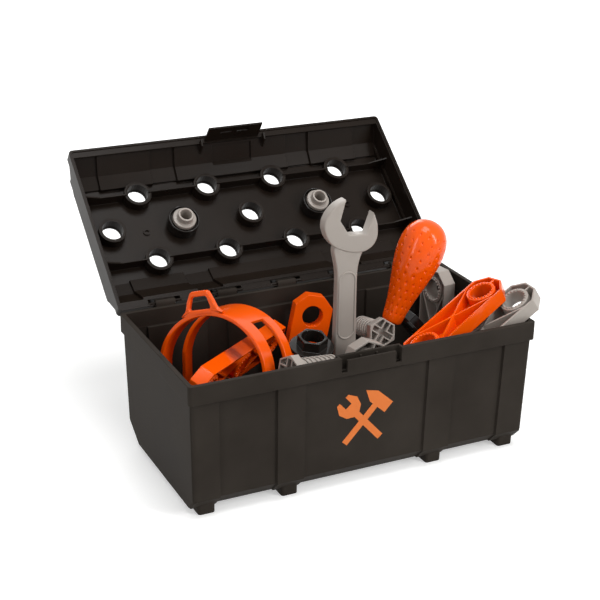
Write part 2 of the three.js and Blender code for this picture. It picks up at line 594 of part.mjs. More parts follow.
function threadedShank(from) {
  const half = THREAD.pitch / 2;
  const points = [[from, 0], [from, THREAD.tip]];
  for (let i = 0; i < THREAD.turns; i += 1) {
    const start = from + half + i * THREAD.pitch;
    points.push([start, THREAD.root], [start + half, THREAD.crest]);
  }
  const end = from + half + THREAD.turns * THREAD.pitch;
  points.push([end, THREAD.root], [end, 0]);
  return turned(points, ROUND / 2);
}

// Bolt, with the face of its head at zero and the shank below it.
function hexBolt() {
  const head = hexagon(HEX_BOLT.across, -HEX_BOLT.height, 0);
  const inside = hexagon(HEX_BOLT.across - 2 * HEX_BOLT.wall, -HEX_BOLT.pocket, OVER);
  const half = HEX_BOLT.across / 2;
  const reach = HEX_BOLT.channel / 2 + HEX_BOLT.rib;
  const cross = [block([-half, half], [-reach, reach], [-HEX_BOLT.pocket - OVER, 0]),
    block([-reach, reach], [-half, half], [-HEX_BOLT.pocket - OVER, 0])];
  const groove = HEX_BOLT.channel / 2;
  const inner = half * Math.cos(HALF_TURN / HEX_SIDES) - HEX_BOLT.wall;
  const grooves = [block([-inner, inner], [-groove, groove], [-HEX_BOLT.pocket, OVER]),
    block([-groove, groove], [-inner, inner], [-HEX_BOLT.pocket, OVER])];
  const face = cut(join(cut(head, inside), meet(join(cross), head)), grooves);
  const shankTop = -HEX_BOLT.height + OVER;
  return join(face, threadedShank(shankTop - THREAD.pitch * (THREAD.turns + 1 / 2)));
}

function hexNut() {
  const height = HEX_NUT.height;
  const flangeTop = -height + HEX_NUT.flangeThick;
  const body = join(hexagon(HEX_NUT.across, -height, 0), drum(HEX_NUT.flange, -height, flangeTop));
  return cut(body, drum(HEX_NUT.bore, -height - OVER, OVER));
}

// Draws the jaws on from the right side of the wrench's neck to its left side.
function jawsOnto(shape) {
  const toVectors = (points) => points.map(([across, up]) => new THREE.Vector2(across, up));
  const [[neckAcross, neckUp]] = JAW_RIGHT;
  if (shape.curves.length) shape.lineTo(neckAcross, neckUp);
  else shape.moveTo(neckAcross, neckUp);
  shape.splineThru(toVectors(JAW_RIGHT.slice(1)));
  for (const [across, up] of [...MOUTH, JAW_TIP]) shape.lineTo(across, up);
  shape.splineThru(toVectors(JAW_LEFT));
  return shape;
}

// Flat wrench, its foot at the origin, up its own Y axis.
function wrench() {
  const half = WRENCH.handle / 2;
  const edge = (WRENCH.thick - WRENCH.handleThick) / 2;
  const shape = new THREE.Shape();
  shape.absarc(0, half, half, HALF_TURN, FULL_TURN);
  const handle = draw(jawsOnto(shape), edge, WRENCH.thick - edge, null, ARC * 2);
  const head = draw(jawsOnto(new THREE.Shape()), 0, WRENCH.thick, null, ARC / 2);
  const across = [-WRENCH.panel / 2, WRENCH.panel / 2];
  const floor = edge + WRENCH.panelDeep;
  const faces = [[-OVER, floor], [WRENCH.thick - floor, WRENCH.thick + OVER]];
  const recesses = faces.map(([from, to]) =>
    draw(roundedPlan(across, [WRENCH.low, WRENCH.high], WRENCH.panel / 2 - GAP), from, to));
  return cut(join(handle, head), recesses);
}

function shaft() {
  const { radius, length, tip, blade } = SHAFT;
  return turned([[0, 0], [0, tip], [blade, radius], [length, radius], [length, 0]]);
}

const grip = () => turned(GRIP_OUTLINE);

piece("box_body", tub(), DARK);
const bench = openLid();
piece("lid", lid(), DARK, bench);

// The stored bolts sit in the middle row, their sleeves round the same sockets.
for (const [side, index] of Object.entries(STORED)) {
  const [u, v] = sockets[index];
  const socketTop = -BENCH.floor + SOCKET.height;
  const at = (w) => bench.clone().multiply(new THREE.Matrix4().makeTranslation(u, v, w));
  piece(`lid_bolt_${side}`, benchPlug(), GREY, at(socketTop));
  piece(`lid_nut_${side}`, sleeve(), BLACK, at(-BENCH.floor + GAP));
}

piece("hoop", hoop(), ORANGE, lie("hoop"));
piece("wrench", wrench(), GREY, lie("wrench"));
piece("screwdriver_shaft", shaft(), BLACK, lie("screwdriver"));
piece("screwdriver_grip", grip(), ORANGE, lie("screwdriver"));
for (const [name, holes] of Object.entries(BEAM_HOLES)) {
  piece(name, beam(holes), name.includes("orange") ? ORANGE : GREY, lie(name, BEAM.thick));
}
piece("nut_centre", hexNut(), BLACK, lie("nut_centre"));
piece("nut_right", hexNut(), BLACK, lie("nut_right"));
piece("bolt_centre", hexBolt(), GREY, lie("bolt_centre"));
piece("bolt_front", hexBolt(), GREY, lie("bolt_front"));

// The whole stands on the ground with its middle over the origin.
const assembly = new THREE.Group().add(...meshes);
const box = new THREE.Box3().setFromObject(assembly, true);
const centre = box.getCenter(new THREE.Vector3());
for (const mesh of meshes) {
  mesh.position.add(new THREE.Vector3(-centre.x, -centre.y, -box.min.z));
}

export default assembly;
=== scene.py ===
"""A toy tool box that stands open, full of toy tools and building beams, on a pale floor."""
import json
import math

import bmesh
import bpy
from mathutils import Matrix, Vector


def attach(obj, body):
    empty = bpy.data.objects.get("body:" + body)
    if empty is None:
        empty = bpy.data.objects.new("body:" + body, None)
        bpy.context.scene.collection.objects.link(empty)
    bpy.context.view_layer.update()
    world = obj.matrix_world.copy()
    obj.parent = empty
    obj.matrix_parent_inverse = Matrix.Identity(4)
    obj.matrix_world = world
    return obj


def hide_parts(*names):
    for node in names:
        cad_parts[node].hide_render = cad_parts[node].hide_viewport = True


MM = 0.001
MERGE = 0.001  # corners of a new piece, in millimetres, nearer than this are one
WELD = 0.01 * MM  # and so are corners of a CAD node, in metres, nearer than this
SHARP = math.radians(32)  # an edge that folds more than this gets a round

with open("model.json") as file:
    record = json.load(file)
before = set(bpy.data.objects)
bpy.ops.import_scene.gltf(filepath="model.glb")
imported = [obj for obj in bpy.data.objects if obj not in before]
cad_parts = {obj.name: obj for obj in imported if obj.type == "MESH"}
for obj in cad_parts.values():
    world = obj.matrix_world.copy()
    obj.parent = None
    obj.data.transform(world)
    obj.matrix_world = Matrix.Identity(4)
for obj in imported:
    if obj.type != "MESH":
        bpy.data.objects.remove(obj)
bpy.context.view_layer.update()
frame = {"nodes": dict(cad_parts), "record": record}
nodes = frame["nodes"]


# Materials. Every pattern is in Object coordinates, which are metres here, so that it keeps its real size.
def linear(hex_colour):
    """An sRGB hex colour as linear red, green, blue and alpha."""
    channels = [int(hex_colour[i:i + 2], 16) / 255 for i in (1, 3, 5)]
    return [c / 12.92 if c <= 0.04045 else ((c + 0.055) / 1.055) ** 2.4 for c in channels] + [1.0]


def add(tree, kind, links=None, **settings):
    """Adds a node; a setting names a socket or a property, and a link names an input and its source."""
    node = tree.nodes.new(kind)
    for name, value in settings.items():
        if hasattr(node, name):
            setattr(node, name, value)
        else:
            node.inputs[name.replace("_", " ")].default_value = value
    for name, source in (links or {}).items():
        tree.links.new(source, node.inputs[name])
    return node


CLOUD = 60  # the size of the slow clouds of colour and gloss, in millimetres
IOR = 1.49


def moulded(name, low, high, roughness, spread, grain, grain_height, ripple, ripple_height, specular):
    """A moulded plastic: two near colours and a changing gloss in slow clouds, the fine grain that the mould
    leaves, and the slow ripple of its cooling. grain and ripple are the sizes of these in millimetres."""
    material = bpy.data.materials.new(name)
    material.use_nodes = True
    tree = material.node_tree
    tree.nodes.clear()
    place = add(tree, "ShaderNodeTexCoord").outputs["Object"]
    cloud = add(tree, "ShaderNodeTexNoise", {"Vector": place}, Scale=1 / (CLOUD * MM), Detail=3.0)
    fine = add(tree, "ShaderNodeTexNoise", {"Vector": place}, Scale=1 / (grain * MM), Detail=2.0)
    slow = add(tree, "ShaderNodeTexNoise", {"Vector": place}, Scale=1 / (ripple * MM), Detail=1.0)
    tone = add(tree, "ShaderNodeMix", {"Factor": cloud.outputs["Fac"]}, data_type="RGBA")
    tone.inputs["A"].default_value = linear(low)
    tone.inputs["B"].default_value = linear(high)
    gloss = add(tree, "ShaderNodeMapRange", {"Value": cloud.outputs["Fac"]})
    gloss.inputs["To Min"].default_value = roughness - spread
    gloss.inputs["To Max"].default_value = roughness + spread
    ripples = add(tree, "ShaderNodeBump", {"Height": slow.outputs["Fac"]}, Strength=1.0,
                  Distance=ripple_height * MM)
    grains = add(tree, "ShaderNodeBump", {"Height": fine.outputs["Fac"], "Normal": ripples.outputs["Normal"]},
                 Strength=1.0, Distance=grain_height * MM)
    shader = add(tree, "ShaderNodeBsdfPrincipled", {
        "Base Color": tone.outputs["Result"], "Roughness": gloss.outputs["Result"],
        "Normal": grains.outputs["Normal"]})
    shader.inputs["IOR"].default_value = IOR
    shader.inputs["Specular IOR Level"].default_value = specular
    add(tree, "ShaderNodeOutputMaterial", {"Surface": shader.outputs["BSDF"]})
    return material


# The tub: polypropylene, injection moulded in a spark-eroded mould. The eye gets a dark warm grey with a satin
# grain, faintly mottled.
box_plastic = moulded("moulded_polypropylene_dark", "#201b17", "#3a3530", 0.58, 0.08,
                      grain=0.9, grain_height=0.035, ripple=45, ripple_height=0.30, specular=0.045)
# The lid: the same polypropylene from a polished mould, but darker than the tub's colour. The darker colour is
# painted shade, for the shade that the lid and its socket rims lie in. Its ribs catch the light.
lid_plastic_painted_shade = moulded("moulded_polypropylene_polished_painted_shade", "#16110d", "#211a15", 0.30, 0.06,
                      grain=0.9, grain_height=0.010, ripple=45, ripple_height=0.25, specular=0.07)
# The hoop, the grip and the orange beams: ABS from a polished mould, bright, with sharp highlights and a faint
# waviness.
orange_plastic = moulded("polished_abs_orange", "#e84d02", "#f05c06", 0.15, 0.03,
                         grain=0.5, grain_height=0.003, ripple=22, ripple_height=0.10, specular=0.22)
# The wrench, the bolts and the grey beams: ABS from a plain mould, a light warm grey, half matt.
grey_plastic = moulded("moulded_abs_grey", "#948c85", "#a29a92", 0.33, 0.05,
                       grain=0.7, grain_height=0.012, ripple=25, ripple_height=0.10, specular=0.35)
# The nuts, the sleeves and the shaft: ABS from a polished mould, a deep black with sharp highlights.
black_plastic = moulded("polished_abs_black", "#181513", "#221e1b", 0.16, 0.04,
                        grain=0.5, grain_height=0.003, ripple=22, ripple_height=0.08, specular=0.28)
# The picture on the front: screen printing ink, which lies flat and matt on the grain.
orange_print = moulded("screen_print_ink_orange", "#d06d2f", "#d87637", 0.50, 0.04,
                       grain=0.7, grain_height=0.010, ripple=30, ripple_height=0.02, specular=0.20)

finish_of = {"box_plastic": box_plastic, "orange_plastic": orange_plastic,
             "grey_plastic": grey_plastic, "black_plastic": black_plastic}
slot_of = {row["node"]: row["material_slot"] for row in frame["record"]["subparts"]}
body_of = {node: body for body, members in frame["record"]["behaviour"]["bodies"].items() for node in members}


def finish(node):
    """The material of a node's pieces; the lid's is a darker copy of the tub's plastic, with painted shade."""
    return lid_plastic_painted_shade if node == "lid" else finish_of[slot_of[node]]


for name in slot_of:
    nodes[name].data.materials.clear()
    nodes[name].data.materials.append(finish(name))

# Where each piece's own origin is, in millimetres, and the ways its own X axis and Z axis run.
SEATS = {
    "lid": ((-183.131, 13.613, 134.442), (1, 0, 0), (0, -0.63456, 0.77288)),
    "lid_bolt_left": ((-83.136, 100.505, 183.787), (1, 0, 0), (0, -0.63456, 0.77288)),
    "lid_nut_left": ((-83.136, 106.977, 175.903), (1, 0, 0), (0, -0.63456, 0.77288)),
    "lid_bolt_right": ((66.874, 100.505, 183.787), (1, 0, 0), (0, -0.63456, 0.77288)),
    "lid_nut_right": ((66.874, 106.977, 175.903), (1, 0, 0), (0, -0.63456, 0.77288)),
    "hoop": ((-134.331, -94.749, 107.2), (-0.60336, 0.79747, 0), (0.79747, 0.60336, 0)),
    "wrench": ((-2.131, -89.349, 8.8), (1, 0, 0), (0, -1, 0)),
    "screwdriver_shaft": ((17.469, -73.349, 10.3), (0.92069, 0, -0.39029), (0.39029, 0, 0.92069)),
    "screwdriver_grip": ((17.469, -73.349, 10.3), (0.92069, 0, -0.39029), (0.39029, 0, 0.92069)),
    "beam_orange_left": ((-159.637, -121.149, 117.076), (0.70618, 0.69217, -0.14904),
                         (0.57898, -0.68568, -0.44116)),
    "beam_orange_centre": ((2.787, -22.079, 110.94), (-0.23305, -0.06602, -0.97022),
                           (0.21297, 0.97001, -0.11716)),
    "beam_orange_right": ((138.68, -118.102, 139.264), (-0.88684, -0.22796, -0.40193),
                          (-0.41511, 0.01095, 0.90971)),
    "beam_grey_right": ((165.655, -137.695, 135.366), (-0.83108, 0.011, -0.55605), (-0.55615, -0.011, 0.83101)),
    "beam_grey_front": ((-26.173, -130.429, 32.504), (0.37556, 0.10015, 0.92137), (0.00299, -0.99427, 0.10685)),
    "beam_grey_back": ((155.231, -15.389, 115.6), (0, 0, -1), (-0.99015, -0.14002, 0)),
    "nut_centre": ((-35.131, -99.349, 127.5), (1, 0, 0), (0, -0.17092, 0.98529)),
    "nut_right": ((96.869, -67.349, 108), (0.6, 0, -0.8), (0.8, 0, 0.6)),
    "bolt_centre": ((39.869, -96.849, 116.8), (0.59722, 0.14806, 0.78829), (-0.11991, -0.95529, 0.27026)),
    "bolt_front": ((-82.131, -145.349, 121.5), (0.30113, -0.95358, 0), (-0.93362, -0.29483, 0.20352)),
}


def seat(name):
    """The matrix from a piece's own frame in millimetres to the shared frame in metres."""
    origin, along, up = (Vector(part) for part in SEATS[name])
    x = along.normalized()
    z = (up - x * up.dot(x)).normalized()
    turn = Matrix((x, z.cross(x), z)).transposed().to_4x4()
    return Matrix.Translation(origin * MM) @ turn @ Matrix.Scale(MM, 4)


# Ways of making a piece.
def piece(bm, name, node, edge=0.0, steps=2, stands_for=False, crisp=False):
    """Makes the mesh an object of the node's finish that rides with it; its edges get a round of that many
    millimetres. A crisp one keeps each face flat."""
    mesh = bpy.data.meshes.new(name)
    for face in bm.faces:
        face.smooth = not crisp
    bm.to_mesh(mesh)
    bm.free()
    mesh.materials.append(finish(node))
    obj = bpy.data.objects.new(name, mesh)
    bpy.context.scene.collection.objects.link(obj)
    if edge:
        rounded = obj.modifiers.new("rounded_edges", "BEVEL")
        rounded.width = edge * MM
        rounded.segments = steps
        rounded.limit_method = "ANGLE"
        rounded.angle_limit = SHARP
        rounded.use_clamp_overlap = False
    if not crisp:
        even = obj.modifiers.new("even_shading", "WEIGHTED_NORMAL")
        even.weight = 80
    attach(obj, body_of[node])
    if stands_for:
        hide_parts(node)
    return obj


def softened(node, edge, shortest=0.0):
    """A copy of a CAD node with its triangles joined at their corners and its edges rounded. With a shortest
    length in millimetres, only the edges above it are rounded and every face stays flat."""
    bm = bmesh.new()
    bm.from_mesh(nodes[node].data)
    bmesh.ops.remove_doubles(bm, verts=bm.verts, dist=WELD)
    if shortest:
        weight = bm.edges.layers.float.new("bevel_weight_edge")
        for e in bm.edges:
            if len(e.link_faces) == 2 and e.calc_length() > shortest * MM and e.calc_face_angle() > SHARP:
                e[weight] = 1
    obj = piece(bm, "soft_" + node, node, edge, stands_for=True, crisp=bool(shortest))
    if shortest:
        obj.modifiers["rounded_edges"].limit_method = "WEIGHT"


def spun(bm, profile, steps, at=(0, 0), closed=True):
    """Adds a turned shape about the vertical through a point, from a profile of (radius, height)."""
    verts = [bm.verts.new((at[0] + r, at[1], h)) for r, h in profile]
    ends = verts[1:] + verts[:1] if closed else verts[1:]
    edges = [bm.edges.new(pair) for pair in zip(verts, ends)]
    bmesh.ops.spin(bm, geom=verts + edges, cent=(*at, 0), axis=(0, 0, 1), angle=math.tau, steps=steps,
                   use_merge=True)
    bmesh.ops.remove_doubles(bm, verts=bm.verts, dist=MERGE)


def raised(bm, made, height):
    """Moves the new corners of an extrusion up."""
    corners = [item for item in made["geom"] if isinstance(item, bmesh.types.BMVert)]
    bmesh.ops.translate(bm, vec=(0, 0, height), verts=corners)


def placed(bm, node):
    """Puts a shape made in a piece's own millimetres in its place, its faces outwards."""
    bmesh.ops.recalc_face_normals(bm, faces=bm.faces)
    bmesh.ops.transform(bm, matrix=seat(node), verts=bm.verts)
    return bm


# Each node as it leaves the mould, with small rounds on its edges, in millimetres.
EDGE_ROUNDS = {
    "box_body": 0.6,
    "beam_orange_left": 0.5, "beam_orange_centre": 0.5, "beam_orange_right": 0.5, "beam_grey_right": 0.5,
    "beam_grey_front": 0.5, "beam_grey_back": 0.5, "nut_centre": 0.6, "nut_right": 0.6,
}
for node, edge in EDGE_ROUNDS.items():
    softened(node, edge)
# The lid's low steps stay crisp, and so do its small rings.
softened("lid", 0.35, shortest=5)


# The beams' rings: round collars with a row of beads on the inner edge. From here on, lengths are in
# millimetres in the piece's own frame.
BEAM_HOLES = {"beam_orange_left": 3, "beam_orange_centre": 2, "beam_orange_right": 2, "beam_grey_right": 3,
              "beam_grey_front": 2, "beam_grey_back": 2}
HOLE_PITCH = 80
ROUND = 64  # steps round a turned shape
COLLAR = [(10.35, 0.05), (11, 0.2), (14.3, 1.5), (14.3, 13.2), (14.1, 13.8), (13.6, 14.05), (11.2, 14.05),
          (10.6, 13.8), (10.35, 13.2)]
BEADS, BEAD_RADIUS, BEAD_CIRCLE, BEAD_HEIGHT = 22, 1.3, 11.7, 13.9


def beam_rings(node, holes):
    """The collars of one beam, with their beads."""
    bm = bmesh.new()
    for hole in range(holes):
        middle = hole * HOLE_PITCH
        spun(bm, COLLAR, ROUND, at=(middle, 0))
        for i in range(BEADS):
            turn = math.tau * i / BEADS
            spot = Vector((middle + BEAD_CIRCLE * math.cos(turn), BEAD_CIRCLE * math.sin(turn), BEAD_HEIGHT))
            bmesh.ops.create_uvsphere(bm, u_segments=8, v_segments=6, radius=BEAD_RADIUS,
                                      matrix=Matrix.Translation(spot))
    piece(placed(bm, node), "rings_" + node, node)


for node, holes in BEAM_HOLES.items():
    beam_rings(node, holes)


# The round rims of the thirteen bolt sockets in the lid, in three rows, in the lid's darker material with its
# painted shade.
SOCKET_ROWS = ((60, 4), (98.5, 5), (137, 4))  # how far from the hinge, and how many sockets
SOCKET_PITCH = 75
LID_MIDDLE = 175
SOCKET = [(13.95, -29), (13.95, -17.7), (13.4, -17), (11.6, -17), (10.65, -17.9), (10.65, -27.5), (10.1, -27.6),
          (10.1, -30.02), (11, -30.02), (11, -29)]

bm = bmesh.new()
for away, count in SOCKET_ROWS:
    for i in range(count):
        spun(bm, SOCKET, ROUND, at=(LID_MIDDLE + (i - (count - 1) / 2) * SOCKET_PITCH, away))
piece(placed(bm, "lid"), "socket_rims", "lid")


# The black sleeves and the turned bolts stored in them, each with a deep hole in its neck.
SLEEVE = [(14.15, 0.3), (14.5, 0), (15.6, 0), (16, 0.4), (16, 12.4), (15.4, 13.2), (14.8, 13.2), (14.15, 12.5)]
STORED_BOLT = [(0, -14), (5.4, -14), (5.7, 10.5), (6.4, 11.2), (7.6, 11.2), (8.2, 10.5), (8.2, 5.3), (8.8, 4.7),
               (11.4, 4.7), (12, 4.1), (12, 0.8), (11.6, 0.35), (10.3, 0.35), (10.3, -11.8), (9.8, -12.2),
               (9.8, -19), (9.3, -19.5), (0, -19.5)]

for side in ("left", "right"):
    bm = bmesh.new()
    spun(bm, SLEEVE, ROUND)
    piece(placed(bm, f"lid_nut_{side}"), f"sleeve_{side}", f"lid_nut_{side}", stands_for=True)
    bm = bmesh.new()
    spun(bm, STORED_BOLT, ROUND, closed=False)
    piece(placed(bm, f"lid_bolt_{side}"), f"turned_bolt_{side}", f"lid_bolt_{side}", stands_for=True)


# The hoop: one bent band with a long slot on each side, straight legs, and a flat eye on top. In its own frame
# the arch stands in the XY plane and the band's width is along Z.
HOOP_RADIUS = 54
HOOP_LEAN = math.radians(12)
STRAP_EDGES = (0, 18, 41, 54)  # across the band: a strap, the slot, a strap
SLOT_END = 48  # the height at which the slots end under the crown
HOOP_FOOT = -98.4
BAND_THICK = 4
HOOP_EDGE = 1.1


def hoop():
    """The band as a bent strip with its slots cut out; its thickness comes from a modifier."""
    bm = bmesh.new()
    verts = [bm.verts.new((HOOP_RADIUS, 0, z)) for z in STRAP_EDGES]
    geom = verts + [bm.edges.new(pair) for pair in zip(verts, verts[1:])]
    slot_end = math.asin(SLOT_END / HOOP_RADIUS)
    for angle, steps in ((slot_end, 20), (math.pi - 2 * slot_end, 16), (slot_end, 20)):
        made = bmesh.ops.spin(bm, geom=geom, cent=(0, 0, 0), axis=(0, 0, 1), angle=angle, steps=steps)
        geom = made["geom_last"]
    bmesh.ops.remove_doubles(bm, verts=bm.verts, dist=MERGE)
    slots = []
    for face in bm.faces:
        middle = face.calc_center_median()
        if middle.y < SLOT_END - 0.1 and STRAP_EDGES[1] < middle.z < STRAP_EDGES[2]:
            slots.append(face)
    bmesh.ops.delete(bm, geom=slots, context="FACES")
    # The straps' lower edges become the legs; an edge as wide as the slot doesn't.
    slot_width = STRAP_EDGES[2] - STRAP_EDGES[1]
    low = [e for e in bm.edges if all(abs(v.co.y) < 0.01 for v in e.verts)]
    feet = [e for e in low if e.calc_length() < slot_width - 1]
    bmesh.ops.rotate(bm, verts=bm.verts, cent=(0, 0, 0), matrix=Matrix.Rotation(HOOP_LEAN, 3, "X"))
    legs = bmesh.ops.extrude_edge_only(bm, edges=feet)
    for item in legs["geom"]:
        if isinstance(item, bmesh.types.BMVert):
            item.co.y = HOOP_FOOT
    bmesh.ops.recalc_face_normals(bm, faces=bm.faces)
    bmesh.ops.transform(bm, matrix=seat("hoop"), verts=bm.verts)
    band = piece(bm, "hoop_band", "hoop", edge=HOOP_EDGE, steps=3, stands_for=True)
    wall = band.modifiers.new("wall", "SOLIDIFY")
    wall.thickness = BAND_THICK * MM
    wall.offset = 0
    wall.use_even_offset = True
    band.modifiers.move(band.modifiers.find("wall"), 0)


hoop()


# The hoop's flat eye: a rounded frame that stands on the crown and leans with it.
EYE_OUTSIDE = [(-23, 0.5), (23, 0.5), (16.5, 6), (14.5, 13), (9, 23), (-9, 23), (-13.5, 13), (-16, 6)]
EYE_INSIDE = [(-10, 6), (13, 6), (8.5, 18), (-7, 18)]
EYE_FOOT = 52  # how far from the arch's middle the eye starts
EYE_TURN = math.radians(-17)
EYE_THICK = 5


def flat_loop(bm, corners, soft):
    """The rounded rim of a flat polygon, as edges alone."""
    face = bm.faces.new([bm.verts.new((x, y, 0)) for x, y in corners])
    bmesh.ops.bevel(bm, geom=list(face.verts), offset=soft, affect="VERTICES", segments=5, profile=0.5,
                    material=-1)
    rounded = bm.faces[:][-1]
    edges = list(rounded.edges)
    bmesh.ops.delete(bm, geom=[rounded], context="FACES_ONLY")
    return edges


bm = bmesh.new()
rims = flat_loop(bm, EYE_OUTSIDE, 2.6) + flat_loop(bm, EYE_INSIDE, 2.2)
flat = bmesh.ops.bridge_loops(bm, edges=rims)["faces"]
raised(bm, bmesh.ops.extrude_face_region(bm, geom=flat, use_keep_orig=True), EYE_THICK)
bmesh.ops.translate(bm, vec=(0, EYE_FOOT, 0), verts=bm.verts)
bmesh.ops.rotate(bm, verts=bm.verts, cent=(0, 0, 0), matrix=Matrix.Rotation(EYE_TURN, 3, "Z"))
bmesh.ops.rotate(bm, verts=bm.verts, cent=(0, 0, 0), matrix=Matrix.Rotation(HOOP_LEAN, 3, "X"))
piece(placed(bm, "hoop"), "hoop_eye", "hoop", edge=HOOP_EDGE, steps=3)


# The screwdriver: a bulb grip with staggered rows of small pits, and a turned shaft.
GRIP = [(0, 114), (8.2, 114), (9.4, 114.8), (10.2, 117), (11, 124.5), (12.1, 132.7), (13.7, 140.9),
        (15.6, 149.1), (17.6, 157.3), (19.6, 165.5), (21.4, 173.7), (22.7, 181.9), (23, 190.1), (22.6, 198.3),
        (20.5, 206.2), (16.6, 212.8), (11, 217.2), (5, 219.3), (0, 219.8)]
GRIP_STEPS = 28
GRIP_SWELL = 1.004  # the smoothing draws the bulb in by as much
PITTED = slice(4, 15)  # the rings of the profile that have pits
SLIM_PITS = 3 * GRIP_STEPS // 2  # the pits of the three slimmest rings
PIT_DEPTH = 1.6


def grip():
    """The bulb with its pits: every other corner of a ring is cut off and the cut is pushed in."""
    bm = bmesh.new()
    spun(bm, [(r * GRIP_SWELL, h) for r, h in GRIP], GRIP_STEPS, closed=False)
    bmesh.ops.recalc_face_normals(bm, faces=bm.faces)
    pits = []
    for row, (_, height) in enumerate(GRIP[PITTED]):
        near = [v for v in bm.verts if abs(v.co.z - height) < 0.01]
        near.sort(key=lambda v: math.atan2(v.co.y, v.co.x))
        pits += near[row % 2::2]
    floors = []
    for size, some in ((0.85, pits[:SLIM_PITS]), (1.2, pits[SLIM_PITS:])):
        made = bmesh.ops.bevel(bm, geom=some, offset=size, affect="VERTICES", segments=1, profile=0.5,
                               material=-1)
        floors += [f for f in made["faces"] if f.calc_area() < 6]
    bmesh.ops.inset_individual(bm, faces=floors, thickness=0.2, depth=-PIT_DEPTH)
    obj = piece(placed(bm, "screwdriver_grip"), "pitted_grip", "screwdriver_grip", stands_for=True)
    fine = obj.modifiers.new("fine", "SUBSURF")
    fine.levels = fine.render_levels = 2
    obj.modifiers.move(obj.modifiers.find("fine"), 0)


grip()

SHAFT = [(0, 0), (1.5, 0), (3, 1), (5, 14), (5, 113.7), (0, 113.7)]
bm = bmesh.new()
spun(bm, SHAFT, 48, closed=False)
piece(placed(bm, "screwdriver_shaft"), "turned_shaft", "screwdriver_shaft", edge=0.4, stands_for=True)


# The wrench: a flat handle that widens into a thicker head, and a raised rim on each face of the handle.
def plate(bm, points, low, high, edge):
    """Adds a flat plate with rounded edges between two heights. A point of three numbers is a soft one."""
    outline = bpy.data.curves.new("outline", "CURVE")
    outline.dimensions = "2D"
    outline.fill_mode = "BOTH"
    outline.extrude = (high - low) / 2 - edge
    outline.bevel_depth = edge
    outline.bevel_resolution = 3
    outline.offset = -edge
    outline.resolution_u = 10
    spline = outline.splines.new("BEZIER")
    spline.bezier_points.add(len(points) - 1)
    spline.use_cyclic_u = True
    for spot, (x, y, *soft) in zip(spline.bezier_points, points):
        spot.co = (x, y, 0)
        spot.handle_left_type = spot.handle_right_type = "AUTO" if soft else "VECTOR"
    drawn = bpy.data.objects.new("outline", outline)
    mesh = bpy.data.meshes.new_from_object(drawn)
    bpy.data.objects.remove(drawn)
    part = bmesh.new()
    part.from_mesh(mesh)
    bmesh.ops.remove_doubles(part, verts=part.verts, dist=10 * MERGE)
    bmesh.ops.translate(part, vec=(0, 0, (low + high) / 2), verts=part.verts)
    part.to_mesh(mesh)
    part.free()
    bm.from_mesh(mesh)
    bpy.data.meshes.remove(mesh)


HANDLE = [(1, 0, 1), (8.3, 3, 1), (11.3, 10.3, 1), (11.3, 168), (12, 180, 1), (14.4, 190, 1), (18.5, 199, 1),
          (20, 206), (-12, 206), (-13.4, 199, 1), (-11.8, 190, 1), (-9.9, 180, 1), (-9.3, 168), (-9.3, 10.3, 1),
          (-6.3, 3, 1)]
HEAD = [(10.1, 194.8, 1), (21.8, 196.4, 1), (29, 203.4, 1), (30.6, 216.4, 1), (26.3, 231), (19.3, 211.6),
        (1.2, 213.2), (-7.8, 227.5), (-2.6, 247), (-10.6, 243.8, 1), (-16.8, 239, 1), (-21.4, 233, 1),
        (-23.8, 226, 1), (-23, 218, 1), (-16.2, 206, 1), (-4.8, 198.9, 1)]
HANDLE_RIM = {"half": 9.1, "low": 119.4, "high": 168.6, "wall": 1.5}


def slot_rim(bm, half, low, high, wall, bottom, top):
    """Adds a raised rim in the shape of a slot with round ends."""
    rim = []
    for radius in (half, half - wall):
        ring = bmesh.ops.create_circle(bm, cap_ends=False, segments=40, radius=radius)["verts"]
        bmesh.ops.translate(bm, vec=(0, low, bottom), verts=ring)
        bmesh.ops.translate(bm, vec=(0, high - low, 0), verts=[v for v in ring if v.co.y > low])
        rim += [e for e in bm.edges if all(v in ring for v in e.verts)]
    faces = bmesh.ops.bridge_loops(bm, edges=rim)["faces"]
    raised(bm, bmesh.ops.extrude_face_region(bm, geom=faces, use_keep_orig=True), top - bottom)


bm = bmesh.new()
plate(bm, HANDLE, 2.4, 10.8, 1.6)
plate(bm, HEAD, 1, 12, 1.5)
piece(placed(bm, "wrench"), "smooth_wrench", "wrench", stands_for=True)
bm = bmesh.new()
slot_rim(bm, **HANDLE_RIM, bottom=2.7, top=1.6)
slot_rim(bm, **HANDLE_RIM, bottom=10.5, top=11.6)
bmesh.ops.translate(bm, vec=(1, 0, 0), verts=bm.verts)
piece(placed(bm, "wrench"), "handle_rims", "wrench", edge=0.4)


# The loose bolts: the head as moulded, and a coarse thread wound round a plain core.
HEAD_HEIGHT = 10.02  # the head goes from 0 down to here
CORE = [(0, -9.8), (8.8, -9.8), (8.8, -57.6), (7.2, -60), (0, -60)]
THREAD = ((8.5, -58.4), (10, -56.6), (10, -55.8), (8.5, -54))
THREAD_TURNS, THREAD_PITCH, THREAD_STEPS = 7, 6, 24


